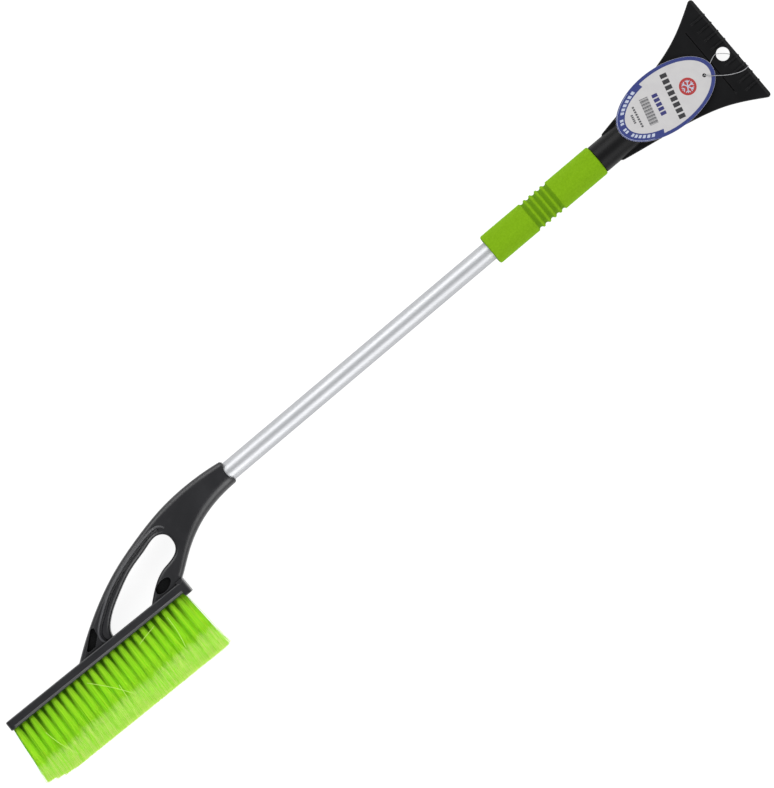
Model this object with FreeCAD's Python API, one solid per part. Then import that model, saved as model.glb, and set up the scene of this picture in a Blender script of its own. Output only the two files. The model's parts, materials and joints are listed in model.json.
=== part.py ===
import FreeCAD, Part
import math
import os

# Snow brush with an ice scraper: a moulded brush head, an aluminium handle tube with a foam grip,
# a moulded scraper head, and the hang tag it is sold with, tied on by a thread. Lengths are in millimetres.
#
# The tool lies flat. The origin is the centre of the hang hole, halfway through the scraper blade.
# +X runs along the tube from the brush to the scraper, the bristles point to -Y, and +Z is up.

# Handle tube, with its ends inside the sockets of the two heads
TUBE_RADIUS = 9.25
TUBE_WALL = 1.2
SOCKET_FIT = 0.02
NECK_MOUTH_X = -581.5
TUBE_IN_NECK = 38.0
SOCKET_MOUTH_X = -146.5
TUBE_IN_SOCKET = 44.0
TUBE_START_X = NECK_MOUTH_X - TUBE_IN_NECK
TUBE_END_X = SOCKET_MOUTH_X + TUBE_IN_SOCKET
BORE_RADIUS = TUBE_RADIUS + SOCKET_FIT
BORE_END_GAP = 1.0

# Foam grip
GRIP_START_X = -272.5
GRIP_END_X = -147.5
GRIP_RADIUS = 15.1
GRIP_END_ROUND = 2.0
GROOVE_COUNT = 5
GROOVE_PITCH = 6.45
GROOVE_MIDDLE_X = -211.2
GROOVE_DEPTH = 1.8
GROOVE_ROUND = 2.4

# Brush block, in its own axes: u along the block from its free end, v up from its top face, z across it.
# The block stands at a small angle to the tube.
BLOCK_CORNER = (-875.6, -43.2)
BLOCK_ANGLE = -1.25
BLOCK_LENGTH = 198.5
BLOCK_HEIGHT = 9.4
BLOCK_HALF_DEPTH = 17.0
BLOCK_END_ROUND = 3.5
BLOCK_EDGE_ROUND = 1.2
LIP_CHAMFER = 0.8
LIP_LINE_V = -7.6
LIP_LINE_WIDTH = 1.7
LIP_LINE_DEPTH = 0.5
LIP_LINE_START_U = 5.0

# Tufts, set in blind holes in staggered rows; z is up, so the first row is the one on top
ROW_HEIGHTS = (12.0, 4.0, -4.0, -12.0)
TUFTS_PER_ROW = 23
TUFT_PITCH = 8.4
FIRST_TUFT_U = 4.4
HOLE_RADIUS = 2.5
HOLE_DEPTH = 7.2
TUFT_ROOT_RADIUS = 2.35
TUFT_TIP_RADIUS = 4.2
TUFT_LENGTH = 61.5
SHORT_END_LENGTH = 30.0
SHORT_END_DROP = 5.0
LEAN_AT_FREE_END = -3.6
LEAN_AT_HEEL = 3.2

# Wire anchors that pin each folded tuft at the bottom of its hole
ANCHOR_THICKNESS = 0.4
ANCHOR_HEIGHT = 1.8
ANCHOR_WIDTH = 5.6
ANCHOR_FLOOR_GAP = 1.6
ANCHOR_FIT = 0.02

# Arch, neck and heel of the brush head: side outlines as (x, y) points on smooth curves
ARCH_HALF_DEPTH = 11.5
CREST_POINTS = (
    (-580.0, 12.0),
    (-600.0, 14.4),
    (-620.0, 15.2),
    (-650.0, 13.2),
    (-682.0, 6.8),
    (-712.0, -1.8),
    (-750.0, -18.8),
    (-792.0, -45.5),
)
UNDERSIDE_POINTS = (
    (-580.4, -11.4),
    (-598.0, -12.4),
    (-618.0, -16.3),
    (-638.0, -24.0),
    (-656.0, -34.8),
    (-664.5, -40.9),
    (-672.6, -46.4),
)
OPENING_POINTS = (
    (-751.6, -52.0),
    (-751.8, -42.0),
    (-745.0, -33.6),
    (-725.0, -21.0),
    (-700.0, -10.0),
    (-680.0, -4.9),
    (-663.5, -2.9),
    (-657.8, -7.5),
    (-656.6, -14.0),
    (-659.0, -21.6),
    (-666.0, -26.3),
    (-680.0, -29.2),
    (-693.0, -35.2),
    (-704.0, -43.4),
    (-714.0, -52.0),
)
PLATE_BOTTOM_Y = -50.0
CREST_ROUND = 4.5
UNDERSIDE_NECK_ROUND = 9.0
UNDERSIDE_HEEL_ROUND = 4.5
OPENING_ROUND = 3.0
MOUTH_TIP = (-578.2, 9.8)
MOUTH_SCALLOP_DEPTH = 3.2
MOUTH_SCALLOP_HALF_HEIGHT = 10.0

# Heel: the rounded wall that closes the end of the block and reaches below it
HEEL_INNER_X = -679.2
HEEL_OUTER_X = -671.8
HEEL_TOP_Y = -45.4
HEEL_BOTTOM_Y = -60.5
HEEL_TOP_SLOPE = 3.5
HEEL_ROUND = 5.0
HEEL_LIP_ROUND = 1.2

# Decorative groove along the arch, a little way outside the hand opening, and the bead beside it
ARCH_BEAD_RADIUS = 1.1
ARCH_BEAD_OFFSET = 2.6
ARCH_BEAD_END_POINTS = ((-659.4, 3.5), (-655.6, -0.4))
ARCH_GROOVE_RADIUS = 1.1
ARCH_GROOVE_POINTS = (
    (-757.4, -48.0),
    (-759.2, -38.8),
    (-749.5, -29.2),
    (-728.0, -15.8),
    (-704.0, -6.4),
    (-684.0, -1.1),
    (-668.0, 1.6),
    (-661.0, 1.0),
)

# Blind coring pockets in the two feet of the arch
POCKET_DEPTH = 9.5
POCKET_CORNER_ROUND = 1.5
FOOT_POCKET_POINTS = (
    (-781.5, -43.2),
    (-764.0, -28.2),
    (-760.6, -28.8),
    (-762.6, -36.5),
    (-770.5, -43.2),
)
LEG_POCKET_CENTRE = (-689.0, -40.5)
LEG_POCKET_SEMI_AXES = (9.0, 4.8)
LEG_POCKET_ANGLE = 12.0

# Scraper head: a round socket, a cone that sinks into the blade, and the flared blade
SOCKET_RADIUS = 13.9
SOCKET_END_X = -106.0
CONE_END_X = -42.0
BLADE_HALF_THICKNESS = 2.0
WING_START_X = -130.5
WING_POINTS = (
    (-129.0, 15.2),
    (-96.0, 21.2),
    (-58.0, 28.7),
    (-28.0, 37.7),
    (2.0, 53.4),
    (10.2, 58.4),
)
WING_STEP = 1.5
EDGE_X = WING_POINTS[-1][0]
BLADE_HALF_WIDTH = WING_POINTS[-1][1]
BLADE_CORNER_ROUND = 3.0
BEVEL_LENGTH = 3.0
EDGE_THICKNESS = 1.1
WING_EDGE_ROUND = 0.8
MOUTH_ROUND = 0.6

HANG_HOLE_RADIUS = 6.3
HANG_HOLE_CHAMFER = 0.4

RIBS_EACH_SIDE = 4
RIB_PITCH = 9.5
RIB_WIDTH = 1.6
RIB_START_X = -6.0
RIB_RAMP_LENGTH = 5.0
RIB_HEIGHT = 1.2
RIB_OVERHANG = 0.5

CREASE_X = -13.5
CREASE_WIDTH = 1.3
CREASE_DEPTH = 1.1
CREASE_TOP_Y = 36.0
CREASE_BOTTOM_Y = -32.0
GATE_MARK_Y = -34.4
GATE_MARK_RADIUS = 0.8
GATE_MARK_HEIGHT = 0.4

# Self-tapping screws that hold the tube in both sockets, driven in from below
SCREW_SHANK_RADIUS = 1.45
SCREW_HOLE_RADIUS = 1.48
SCREW_HEAD_RADIUS = 3.0
SCREW_HEAD_HEIGHT = 2.0
SCREW_TIP_LENGTH = 1.4
SCREW_REACH = 3.2
SCREW_SINK_GAP = 0.3
NECK_SCREW_X = -603.0
SOCKET_SCREW_X = -126.0
NECK_SCREW_SINK = 1.0
SOCKET_SCREW_SINK = 2.6
CROSS_SLOT_WIDTH = 0.7
CROSS_SLOT_LENGTH = 3.4
CROSS_SLOT_DEPTH = 1.2

# Hang tag: an oval card that leans on the socket and lies down towards the hang hole
CARD_CENTRE = (-65.7, 2.0)
CARD_SEMI_AXES = (51.8, 28.9)
CARD_THICKNESS = 0.4
CARD_TURN = -3.5
CARD_SLOPE = 7.3
CARD_OVER_SOCKET_Z = 14.5
CARD_HOLE = (41.0, -3.4)
CARD_HOLE_RADIUS = 1.8

# Thread loop: through the card, down through the hang hole, behind the blade and back over its edge
THREAD_RADIUS = 0.1
THREAD_SKIM = 0.16
THREAD_WALL_GAP = 0.02
THREAD_HOLE_ANGLE = 143.0

# Slack used when picking out edges and faces by their place
TOLERANCE = 0.01
CURVE_BULGE = 1.5

UP = FreeCAD.Vector(0, 0, 1)
ALONG = FreeCAD.Vector(1, 0, 0)
ACROSS = FreeCAD.Vector(0, 1, 0)


def vector(x, y, z=0.0):
    return FreeCAD.Vector(x, y, z)


def smooth_edge(points, z=0.0):
    """One smooth curve through the points, flat at height z."""
    curve = Part.BSplineCurve()
    curve.interpolate([vector(x, y, z) for x, y in points])
    return curve.toShape()


def straight_edges(corners):
    """One straight edge from each corner to the next."""
    return [Part.makeLine(vector(*a), vector(*b)) for a, b in zip(corners, corners[1:])]


def slab(edges, low, high):
    """The closed outline made by the edges, as a solid from height low to height high."""
    wire = Part.Wire(Part.__sortEdges__(edges))
    face = Part.Face(wire)
    face.translate(vector(0, 0, low))
    return face.extrude(vector(0, 0, high - low))


def polygon_slab(points, low, high):
    return slab(straight_edges(list(points) + [points[0]]), low, high)


def rod(radius, start_x, end_x):
    """A round bar along the tube's axis."""
    return Part.makeCylinder(radius, end_x - start_x, vector(start_x, 0), ALONG)


def box_between(low, high):
    size = [b - a for a, b in zip(low, high)]
    return Part.makeBox(*size, vector(*low))


def from_block(shape):
    """Moves a shape from the block's own axes to its place on the tool."""
    placed = shape.copy()
    placed.rotate(vector(0, 0), UP, BLOCK_ANGLE)
    placed.translate(vector(*BLOCK_CORNER))
    return placed


def tidy(shape):
    """The shape's only solid, with faces that lie in one surface joined."""
    solids = shape.removeSplitter().Solids
    if len(solids) != 1:
        raise ValueError(f"expected one solid and found {len(solids)}")
    return solids[0]


def save(name, *solids):
    """Writes one named piece, or a group of identical pieces, after checking every solid."""
    for solid in solids:
        if not solid.isValid() or solid.Volume <= 0:
            raise ValueError(f"{name} has a solid that is not valid")
    shape = solids[0] if len(solids) == 1 else Part.makeCompound(solids)
    shape.exportStep(f"parts/{name}.step")


# Brush head


def tuft_places(row):
    """The u position of each tuft in a row. Every second row sits between the tufts of its neighbours."""
    first = FIRST_TUFT_U + (row % 2) * TUFT_PITCH / 2
    return [first + i * TUFT_PITCH for i in range(TUFTS_PER_ROW)]


def tuft_holes():
    return [
        from_block(Part.makeCylinder(HOLE_RADIUS, HOLE_DEPTH, vector(u, -BLOCK_HEIGHT, z), ACROSS))
        for row, z in enumerate(ROW_HEIGHTS)
        for u in tuft_places(row)
    ]


def lip_line(side):
    """The shallow V that marks off the block's lip along one side face, +1 for upper and -1 for lower."""
    face = side * BLOCK_HALF_DEPTH
    floor = side * (BLOCK_HALF_DEPTH - LIP_LINE_DEPTH)
    half = LIP_LINE_WIDTH / 2
    corners = [
        vector(LIP_LINE_START_U, LIP_LINE_V - half, face),
        vector(LIP_LINE_START_U, LIP_LINE_V, floor),
        vector(LIP_LINE_START_U, LIP_LINE_V + half, face),
    ]
    section = Part.Face(Part.makePolygon(corners + [corners[0]]))
    return section.extrude(vector(BLOCK_LENGTH, 0, 0))


def brush_block():
    block = box_between((0, -BLOCK_HEIGHT, -BLOCK_HALF_DEPTH), (BLOCK_LENGTH, 0, BLOCK_HALF_DEPTH))
    free_end = [e for e in block.Edges if e.BoundBox.XMax < TOLERANCE and e.BoundBox.ZLength < TOLERANCE]
    block = block.makeFillet(BLOCK_END_ROUND, free_end)
    block = block.cut([lip_line(1), lip_line(-1)])
    top_rim = [e for e in block.Edges if e.BoundBox.YMin > -TOLERANCE]
    block = block.makeFillet(BLOCK_EDGE_ROUND, top_rim)
    bottom_rim = [e for e in block.Edges if e.BoundBox.YMax < TOLERANCE - BLOCK_HEIGHT]
    return from_block(block.makeChamfer(LIP_CHAMFER, bottom_rim))


def rim_curves(plate, points, half_depth):
    """The edges of a plate's two flat faces that follow the smooth curve through the points."""
    xs = [x for x, y in points]
    return [
        edge
        for edge in plate.Edges
        if isinstance(edge.Curve, Part.BSplineCurve)
        and abs(abs(edge.BoundBox.Center.z) - half_depth) < TOLERANCE
        and abs(edge.BoundBox.XMin - min(xs)) < CURVE_BULGE
        and abs(edge.BoundBox.XMax - max(xs)) < CURVE_BULGE
    ]


def arch_body():
    """Neck, arch and leg as one plate, rounded along its outer edges, most of all under the neck."""
    foot = CREST_POINTS[-1]
    heel = UNDERSIDE_POINTS[-1]
    base = (foot, (foot[0], PLATE_BOTTOM_Y), (heel[0], PLATE_BOTTOM_Y), heel)
    mouth = (UNDERSIDE_POINTS[0], (MOUTH_TIP[0], -MOUTH_TIP[1]), MOUTH_TIP, CREST_POINTS[0])
    outline = straight_edges(base) + straight_edges(mouth)
    outline.append(smooth_edge(CREST_POINTS))
    outline.append(smooth_edge(UNDERSIDE_POINTS))
    plate = slab(outline, -ARCH_HALF_DEPTH, ARCH_HALF_DEPTH)
    # a fillet's two radii go with the edge's direction, and this outline runs from the heel up to the neck
    underside = rim_curves(plate, UNDERSIDE_POINTS, ARCH_HALF_DEPTH)
    plate = plate.makeFillet(UNDERSIDE_HEEL_ROUND, UNDERSIDE_NECK_ROUND, underside)
    return plate.makeFillet(CREST_ROUND, rim_curves(plate, CREST_POINTS, ARCH_HALF_DEPTH))


def heel_wall():
    """The wall at the end of the block, flush with its sides. It slopes in towards the leg at the top."""
    wall = box_between(
        (HEEL_INNER_X, HEEL_BOTTOM_Y, -BLOCK_HALF_DEPTH),
        (HEEL_OUTER_X, HEEL_TOP_Y, BLOCK_HALF_DEPTH),
    )
    shoulders = [
        edge
        for edge in wall.Edges
        if edge.BoundBox.YMin > HEEL_TOP_Y - TOLERANCE and edge.BoundBox.ZLength < TOLERANCE
    ]
    wall = wall.makeChamfer(HEEL_TOP_SLOPE, shoulders)
    outer_sides = [
        edge
        for edge in wall.Edges
        if edge.BoundBox.XMin > HEEL_OUTER_X - TOLERANCE and edge.BoundBox.YLength > 2 * HEEL_TOP_SLOPE
    ]
    wall = wall.makeFillet(HEEL_ROUND, outer_sides)
    lip = [edge for edge in wall.Edges if edge.BoundBox.YMax < HEEL_BOTTOM_Y + TOLERANCE]
    return wall.makeFillet(HEEL_LIP_ROUND, lip)


def cut_hand_opening(body):
    """The opening runs out through the foot of the plate, where the block closes it later."""
    outline = straight_edges((OPENING_POINTS[0], OPENING_POINTS[-1])) + [smooth_edge(OPENING_POINTS)]
    body = body.cut(slab(outline, -BLOCK_HALF_DEPTH, BLOCK_HALF_DEPTH))
    return body.makeFillet(OPENING_ROUND, rim_curves(body, OPENING_POINTS, ARCH_HALF_DEPTH))


def moved_sideways(points, distance):
    """The points, each moved to the left of the line through its neighbours."""
    moved = []
    for i, (x, y) in enumerate(points):
        before, after = points[max(i - 1, 0)], points[min(i + 1, len(points) - 1)]
        run, rise = after[0] - before[0], after[1] - before[1]
        share = distance / math.hypot(run, rise)
        moved.append((x - rise * share, y + run * share))
    return moved


def round_strip(points, radius, z):
    """A round bar along the smooth curve through the points at height z, with a ball at its last point."""
    path = smooth_edge(points, z)
    circle = Part.makeCircle(radius, vector(*points[0], z), path.tangentAt(path.FirstParameter))
    bar = Part.Wire(path).makePipeShell([Part.Wire(circle)], True, True)
    return bar.fuse(Part.makeSphere(radius, vector(*points[-1], z)))


def pockets(side):
    """The two blind pockets on one side of the arch, +1 for the upper side and -1 for the lower."""
    outside = side * BLOCK_HALF_DEPTH
    floor = side * (ARCH_HALF_DEPTH - POCKET_DEPTH)
    low, high = min(outside, floor), max(outside, floor)
    foot = polygon_slab(FOOT_POCKET_POINTS, low, high)
    upright = [e for e in foot.Edges if abs(e.tangentAt(e.FirstParameter).z) > 0.99]
    foot = foot.makeFillet(POCKET_CORNER_ROUND, upright)
    oval = Part.Ellipse(vector(0, 0), *LEG_POCKET_SEMI_AXES).toShape()
    leg = slab([oval], low, high)
    leg.rotate(vector(0, 0), UP, LEG_POCKET_ANGLE)
    leg.translate(vector(*LEG_POCKET_CENTRE))
    return [foot, leg]


def mouth_scallop():
    """The upright cylinder that hollows the neck's rim, so that it comes forward above and below the tube."""
    depth, half_height = MOUTH_SCALLOP_DEPTH, MOUTH_SCALLOP_HALF_HEIGHT
    radius = (half_height**2 + depth**2) / (2 * depth)
    centre = vector(NECK_MOUTH_X + radius, 0, -BLOCK_HALF_DEPTH)
    round_cut = Part.makeCylinder(radius, 2 * BLOCK_HALF_DEPTH, centre)
    front = box_between(
        (NECK_MOUTH_X + depth, -BLOCK_HALF_DEPTH, -BLOCK_HALF_DEPTH),
        (NECK_MOUTH_X + radius, BLOCK_HALF_DEPTH, BLOCK_HALF_DEPTH),
    )
    return round_cut.fuse(front)


def brush_head():
    body = cut_hand_opening(arch_body())
    bead_points = moved_sideways(ARCH_GROOVE_POINTS[:-1], ARCH_BEAD_OFFSET) + list(ARCH_BEAD_END_POINTS)
    for z in (ARCH_HALF_DEPTH, -ARCH_HALF_DEPTH):
        body = body.fuse(round_strip(bead_points, ARCH_BEAD_RADIUS, z))
        body = body.cut(round_strip(ARCH_GROOVE_POINTS, ARCH_GROOVE_RADIUS, z))
    body = body.fuse([brush_block(), heel_wall()])
    body = body.cut(tuft_holes() + pockets(1) + pockets(-1))
    body = body.cut([mouth_scallop(), rod(BORE_RADIUS, TUBE_START_X - BORE_END_GAP, 0)])
    return tidy(body.cut(screw_bore(NECK_SCREW_X, ARCH_HALF_DEPTH, NECK_SCREW_SINK)))


# Bristles and their anchors


def tuft_length(u):
    """The last tufts towards the free end are trimmed shorter."""
    from_end = max(0.0, 1 - u / SHORT_END_LENGTH)
    return TUFT_LENGTH - SHORT_END_DROP * from_end**2


def tuft_lean(u):
    share = u / BLOCK_LENGTH
    return LEAN_AT_FREE_END + (LEAN_AT_HEEL - LEAN_AT_FREE_END) * share


def ring(radius, u, v, z):
    return Part.Wire(Part.makeCircle(radius, vector(u, v, z), ACROSS))


def anchor_box(u, z, fit=0.0):
    """The place of one anchor, across its hole and clear of the floor. A fit adds room all round it."""
    floor = HOLE_DEPTH - BLOCK_HEIGHT
    half_thickness = ANCHOR_THICKNESS / 2 + fit
    half_width = ANCHOR_WIDTH / 2
    top = floor - ANCHOR_FLOOR_GAP + fit
    bottom = floor - ANCHOR_FLOOR_GAP - ANCHOR_HEIGHT - fit
    return box_between(
        (u - half_thickness, bottom, z - half_width),
        (u + half_thickness, top, z + half_width),
    )


def tuft(u, z):
    """One bundle of filaments, slotted for its anchor: straight in its hole, then spreading and leaning."""
    floor = HOLE_DEPTH - BLOCK_HEIGHT - ANCHOR_FIT
    bundle = Part.makeLoft(
        [
            ring(TUFT_ROOT_RADIUS, u, floor, z),
            ring(TUFT_ROOT_RADIUS, u, -BLOCK_HEIGHT, z),
            ring(TUFT_TIP_RADIUS, u + tuft_lean(u), -BLOCK_HEIGHT - tuft_length(u), z),
        ],
        True,
        True,
    )
    return from_block(tidy(bundle.cut(anchor_box(u, z, ANCHOR_FIT))))


def tuft_anchor(u, z):
    return from_block(anchor_box(u, z))


# Handle


def screw_bore(x, socket_radius, sink):
    """The hole for a retaining screw, up through a socket's lower wall, with a seat for its head."""
    below = vector(x, 0, -socket_radius - SCREW_REACH)
    seat = Part.makeCylinder(SCREW_HEAD_RADIUS + SCREW_SINK_GAP, SCREW_REACH + sink, below)
    hole = Part.makeCylinder(SCREW_HOLE_RADIUS, socket_radius, vector(x, 0, -socket_radius))
    return seat.fuse(hole)


def handle_tube():
    tube = rod(TUBE_RADIUS, TUBE_START_X, TUBE_END_X)
    tube = tube.cut(rod(TUBE_RADIUS - TUBE_WALL, TUBE_START_X, TUBE_END_X))
    holes = [
        Part.makeCylinder(SCREW_HOLE_RADIUS, TUBE_RADIUS, vector(x, 0, -TUBE_RADIUS - 1))
        for x in (NECK_SCREW_X, SOCKET_SCREW_X)
    ]
    return tidy(tube.cut(holes))


def foam_grip():
    """A foam sleeve with rounded ends and a few finger grooves in the middle."""
    sleeve = rod(GRIP_RADIUS, GRIP_START_X, GRIP_END_X)
    sleeve = sleeve.makeFillet(GRIP_END_ROUND, [e for e in sleeve.Edges if e.isClosed()])
    groove_centre_radius = GRIP_RADIUS - GROOVE_DEPTH + GROOVE_ROUND
    first = GROOVE_MIDDLE_X - GROOVE_PITCH * (GROOVE_COUNT - 1) / 2
    grooves = [
        Part.makeTorus(groove_centre_radius, GROOVE_ROUND, vector(first + i * GROOVE_PITCH, 0), ALONG)
        for i in range(GROOVE_COUNT)
    ]
    bore = rod(BORE_RADIUS, GRIP_START_X - 1, GRIP_END_X + 1)
    return tidy(sleeve.cut(grooves + [bore]))


def retaining_screw(x, socket_radius, sink):
    """A pan-head self-tapping screw, pointing up, with a cross recess in its head."""
    seat_z = sink - socket_radius
    head_z = seat_z - SCREW_HEAD_HEIGHT
    shank_length = TUBE_WALL - TUBE_RADIUS - seat_z + SCREW_REACH
    head = Part.makeCylinder(SCREW_HEAD_RADIUS, SCREW_HEAD_HEIGHT, vector(x, 0, head_z))
    head_rim = [e for e in head.Edges if e.isClosed() and e.BoundBox.ZMax < head_z + TOLERANCE]
    head = head.makeFillet(SCREW_HEAD_HEIGHT / 2, head_rim)
    shank = Part.makeCylinder(SCREW_SHANK_RADIUS, shank_length, vector(x, 0, seat_z))
    tip = Part.makeCone(SCREW_SHANK_RADIUS, 0, SCREW_TIP_LENGTH, vector(x, 0, seat_z + shank_length))
    screw = head.fuse([shank, tip])
    half_length, half_width = CROSS_SLOT_LENGTH / 2, CROSS_SLOT_WIDTH / 2
    slots = [
        box_between((x - a, -b, head_z - 1), (x + a, b, head_z + CROSS_SLOT_DEPTH))
        for a, b in ((half_length, half_width), (half_width, half_length))
    ]
    return tidy(screw.cut(slots))


# Scraper head


def blade_plate():
    """The flared blade: two curved sides, rounded corners and a straight cutting edge."""
    start, tip = WING_POINTS[0], WING_POINTS[-1]
    edges = []
    for side in (1, -1):
        edges.append(smooth_edge([(x, side * y) for x, y in WING_POINTS]))
    tip_below = (tip[0], -tip[1])
    edges += straight_edges((tip_below, tip))
    shoulder = (WING_START_X, start[1] - WING_STEP)
    edges += straight_edges((start, shoulder, (shoulder[0], -shoulder[1]), (start[0], -start[1])))
    plate = slab(edges, -BLADE_HALF_THICKNESS, BLADE_HALF_THICKNESS)
    corners = [
        edge
        for edge in plate.Edges
        if edge.BoundBox.XMin > EDGE_X - TOLERANCE and edge.BoundBox.YLength < TOLERANCE
    ]
    plate = plate.makeFillet(BLADE_CORNER_ROUND, corners)
    sides = [
        edge
        for edge in plate.Edges
        if isinstance(edge.Curve, Part.BSplineCurve) and edge.BoundBox.ZLength < TOLERANCE
    ]
    return plate.makeFillet(WING_EDGE_ROUND, sides)


def upright_profile(points, start_y, width):
    """The outline given by (x, z) points, standing at start_y and extruded towards +Y."""
    corners = [vector(x, start_y, z) for x, z in points]
    face = Part.Face(Part.makePolygon(corners + [corners[0]]))
    return face.extrude(vector(0, width, 0))


def bevel_cut():
    """The wedge taken off the top of the cutting edge."""
    clear_z = BLADE_HALF_THICKNESS + 1
    edge_z = EDGE_THICKNESS - BLADE_HALF_THICKNESS
    profile = (
        (EDGE_X - BEVEL_LENGTH, BLADE_HALF_THICKNESS),
        (EDGE_X, edge_z),
        (EDGE_X + 1, edge_z),
        (EDGE_X + 1, clear_z),
        (EDGE_X - BEVEL_LENGTH, clear_z),
    )
    return upright_profile(profile, -BLADE_HALF_WIDTH, 2 * BLADE_HALF_WIDTH)


def ice_rib(y):
    """One ice-breaking rib, which ramps up from the blade, runs level and ends in a tooth over the edge."""
    top = BLADE_HALF_THICKNESS + RIB_HEIGHT
    tooth_x = EDGE_X + RIB_OVERHANG
    profile = (
        (RIB_START_X, 0),
        (RIB_START_X, BLADE_HALF_THICKNESS),
        (RIB_START_X + RIB_RAMP_LENGTH, top),
        (EDGE_X - BEVEL_LENGTH, top),
        (tooth_x, EDGE_THICKNESS - BLADE_HALF_THICKNESS + RIB_HEIGHT / 2),
        (tooth_x, -BLADE_HALF_THICKNESS),
        (EDGE_X - BEVEL_LENGTH, -BLADE_HALF_THICKNESS),
    )
    return upright_profile(profile, y - RIB_WIDTH / 2, RIB_WIDTH)


def crease():
    half = CREASE_WIDTH / 2
    floor = BLADE_HALF_THICKNESS - CREASE_DEPTH
    return box_between(
        (CREASE_X - half, CREASE_BOTTOM_Y, floor),
        (CREASE_X + half, CREASE_TOP_Y, BLADE_HALF_THICKNESS + 1),
    )


def hang_hole_cut():
    """The hang hole, with a small chamfer on both rims."""
    underside = vector(0, 0, -BLADE_HALF_THICKNESS)
    chamfer_start = vector(0, 0, BLADE_HALF_THICKNESS - HANG_HOLE_CHAMFER)
    wide = HANG_HOLE_RADIUS + HANG_HOLE_CHAMFER
    return [
        Part.makeCylinder(HANG_HOLE_RADIUS, 2 * BLADE_HALF_THICKNESS, underside),
        Part.makeCone(HANG_HOLE_RADIUS, wide, HANG_HOLE_CHAMFER, chamfer_start),
        Part.makeCone(wide, HANG_HOLE_RADIUS, HANG_HOLE_CHAMFER, underside),
    ]


def gate_mark():
    """The small round spot left by the mould, just past the lower end of the crease."""
    base = vector(CREASE_X, GATE_MARK_Y, BLADE_HALF_THICKNESS - 1)
    return Part.makeCylinder(GATE_MARK_RADIUS, GATE_MARK_HEIGHT + 1, base)


def scraper_socket():
    """The round socket and the cone that runs from it into the blade."""
    socket = rod(SOCKET_RADIUS, SOCKET_MOUTH_X, SOCKET_END_X)
    mouth = [e for e in socket.Edges if e.isClosed() and e.BoundBox.XMax < SOCKET_MOUTH_X + TOLERANCE]
    socket = socket.makeFillet(MOUTH_ROUND, mouth)
    start = vector(SOCKET_END_X, 0)
    cone = Part.makeCone(SOCKET_RADIUS, BLADE_HALF_THICKNESS, CONE_END_X - SOCKET_END_X, start, ALONG)
    return [socket, cone]


def scraper_head():
    blade = blade_plate().cut(bevel_cut())
    rib_places = [side * i * RIB_PITCH for side in (1, -1) for i in range(1, RIBS_EACH_SIDE + 1)]
    blade = blade.fuse([ice_rib(y) for y in rib_places])
    blade = blade.cut(crease()).fuse(gate_mark()).cut(hang_hole_cut())
    body = blade.fuse(scraper_socket())
    body = body.cut(rod(BORE_RADIUS, SOCKET_MOUTH_X - 1, TUBE_END_X + BORE_END_GAP))
    return tidy(body.cut(screw_bore(SOCKET_SCREW_X, SOCKET_RADIUS, SOCKET_SCREW_SINK)))


# Hang tag and its thread


def card_top_z(x):
    """The height of the card's upper face at x."""
    run = x - SOCKET_END_X
    return CARD_OVER_SOCKET_Z + CARD_THICKNESS - run * math.tan(math.radians(CARD_SLOPE))


def tag_card():
    oval = Part.Ellipse(vector(0, 0), *CARD_SEMI_AXES).toShape()
    card = slab([oval], 0, CARD_THICKNESS)
    hole = Part.makeCylinder(CARD_HOLE_RADIUS, 3 * CARD_THICKNESS, vector(*CARD_HOLE, -CARD_THICKNESS))
    card = card.cut(hole)
    card.rotate(vector(0, 0), UP, CARD_TURN)
    card.rotate(vector(0, 0), ACROSS, CARD_SLOPE)
    card.translate(vector(*CARD_CENTRE, card_top_z(CARD_CENTRE[0]) - CARD_THICKNESS))
    return tidy(card)


def thread_path():
    """The corners of the closed loop, in order, starting in the card's hole."""
    turn, slope = math.radians(CARD_TURN), math.radians(CARD_SLOPE)
    along, across = CARD_HOLE
    hole_x = CARD_CENTRE[0] + (along * math.cos(turn) - across * math.sin(turn)) * math.cos(slope)
    hole_y = CARD_CENTRE[1] + along * math.sin(turn) + across * math.cos(turn)
    over_card = card_top_z(hole_x) + THREAD_SKIM
    under_card = over_card - CARD_THICKNESS - 2 * THREAD_SKIM
    top = BLADE_HALF_THICKNESS + THREAD_SKIM
    bottom = -top
    over_rib = top + RIB_HEIGHT
    edge_x = EDGE_X + THREAD_SKIM
    wall_radius = HANG_HOLE_RADIUS - THREAD_RADIUS - THREAD_WALL_GAP
    wall_x = wall_radius * math.cos(math.radians(THREAD_HOLE_ANGLE))
    wall_y = wall_radius * math.sin(math.radians(THREAD_HOLE_ANGLE))
    front = [
        (hole_x, hole_y, over_card),
        (-21.0, -7.8, card_top_z(-21.0) + 2 * THREAD_SKIM),
        (-17.5, -10.2, card_top_z(-17.5) + THREAD_SKIM),
        (-13.0, -14.2, top + 2 * THREAD_SKIM),
        (-8.0, -17.4, over_rib),
        (-3.0, -19.9, over_rib),
        (2.0, -22.1, top),
        (EDGE_X - BEVEL_LENGTH, -23.0, top),
        (edge_x, -22.8, EDGE_THICKNESS - BLADE_HALF_THICKNESS + THREAD_SKIM),
        (edge_x, -22.6, bottom),
    ]
    behind = [
        (8.5, -14.0, bottom),
        (4.4, -5.2, bottom),
        (wall_x, wall_y, bottom),
    ]
    back_to_card = [
        (wall_x, wall_y, top),
        (-8.5, 3.6, top),
        (-12.5, 1.9, top),
        (-16.0, 0.4, top),
        (hole_x, hole_y, under_card),
    ]
    return [vector(*p) for p in front + behind + back_to_card]


def tag_thread():
    """A thin nylon thread, as straight stretches with a round joint at every bend."""
    corners = thread_path()
    stretches = []
    for start, end in zip(corners, corners[1:] + corners[:1]):
        stretches.append(Part.makeCylinder(THREAD_RADIUS, (end - start).Length, start, end - start))
        stretches.append(Part.makeSphere(THREAD_RADIUS, start))
    return tidy(stretches[0].fuse(stretches[1:]))


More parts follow.
